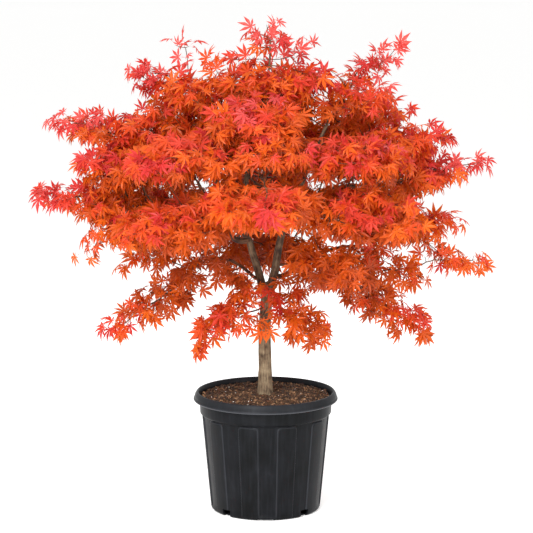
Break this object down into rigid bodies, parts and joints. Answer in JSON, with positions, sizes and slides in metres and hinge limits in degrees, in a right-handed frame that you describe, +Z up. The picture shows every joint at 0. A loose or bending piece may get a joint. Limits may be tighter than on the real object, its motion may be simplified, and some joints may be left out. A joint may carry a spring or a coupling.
{
  "type": "potted japanese maple",
  "caption": "Young, spreading maple in red and orange autumn leaf, with a forked trunk, in a black ribbed nursery pot of bark compost.",
  "frame": {"origin": "middle of the pot's flat underside, on the surface that it stands on", "axes": "+Z up. -Y is the front, the side that faces the viewer, and +X is the viewer's right. The trunk rises near the Z axis."},
  "size_m": [1.1803, 1.0066, 1.224],
  "materials": {
    "pot": "satin moulded black polyethylene",
    "soil": "damp bark compost, rough",
    "bark": "grey-brown bark, finely furrowed",
    "young_bark": "smooth red-brown young bark",
    "leaves_red": "thin leaves, crimson to scarlet",
    "leaves_orange": "thin leaves, orange to russet"
  },
  "bodies": {
    "root": {"trunk": "bark", "stem_leader": "bark", "stem_right": "bark", "bough_left_long": "young_bark", "bough_left_high": "young_bark", "bough_left_upper": "young_bark", "bough_left_fall": "young_bark", "bough_right_low": "young_bark", "bough_right_long": "young_bark", "bough_right_high": "young_bark", "bough_right_fall": "young_bark", "bough_front_mid": "young_bark", "bough_front_left": "young_bark", "bough_front_right": "young_bark", "bough_back_mid": "young_bark", "bough_back_left": "young_bark", "bough_back_right": "young_bark", "leaves_spire": "leaves_red", "leaves_top_left": "leaves_red", "leaves_top_right": "leaves_red", "leaves_top_right_front": "leaves_red", "leaves_left_top": "leaves_red", "leaves_left_twig": "leaves_orange", "leaves_left_fall": "leaves_orange", "leaves_right_fall": "leaves_orange", "leaves_skirt_left": "leaves_orange", "leaves_skirt_right": "leaves_orange", "leaves_right_tip": "leaves_orange", "leaves_right_top": "leaves_red", "leaves_right_upper": "leaves_red", "leaves_left_upper": "leaves_red", "leaves_crown": "leaves_red", "leaves_left_high": "leaves_red", "leaves_left_shoulder": "leaves_red", "leaves_right_high": "leaves_red", "leaves_right_high_back": "leaves_red", "leaves_right_long": "leaves_red", "leaves_left_long": "leaves_orange", "leaves_left_mid": "leaves_red", "leaves_left_under": "leaves_orange", "leaves_left_low": "leaves_orange", "leaves_right_low": "leaves_orange", "leaves_right_under": "leaves_orange", "leaves_front_upper": "leaves_red", "leaves_back_upper": "leaves_red", "leaves_front_crown": "leaves_red", "leaves_front_high_left": "leaves_red", "leaves_front_high_right": "leaves_red", "leaves_back_high_left": "leaves_red", "leaves_back_high_right": "leaves_red", "leaves_front_mid": "leaves_orange", "leaves_front_left": "leaves_orange", "leaves_front_right": "leaves_orange", "leaves_back_mid": "leaves_orange", "leaves_back_low": "leaves_orange", "leaves_back_left": "leaves_orange", "leaves_back_right": "leaves_orange", "leaves_front_low_right": "leaves_orange", "pot": "pot", "soil": "soil"}
  },
  "joints": []
}
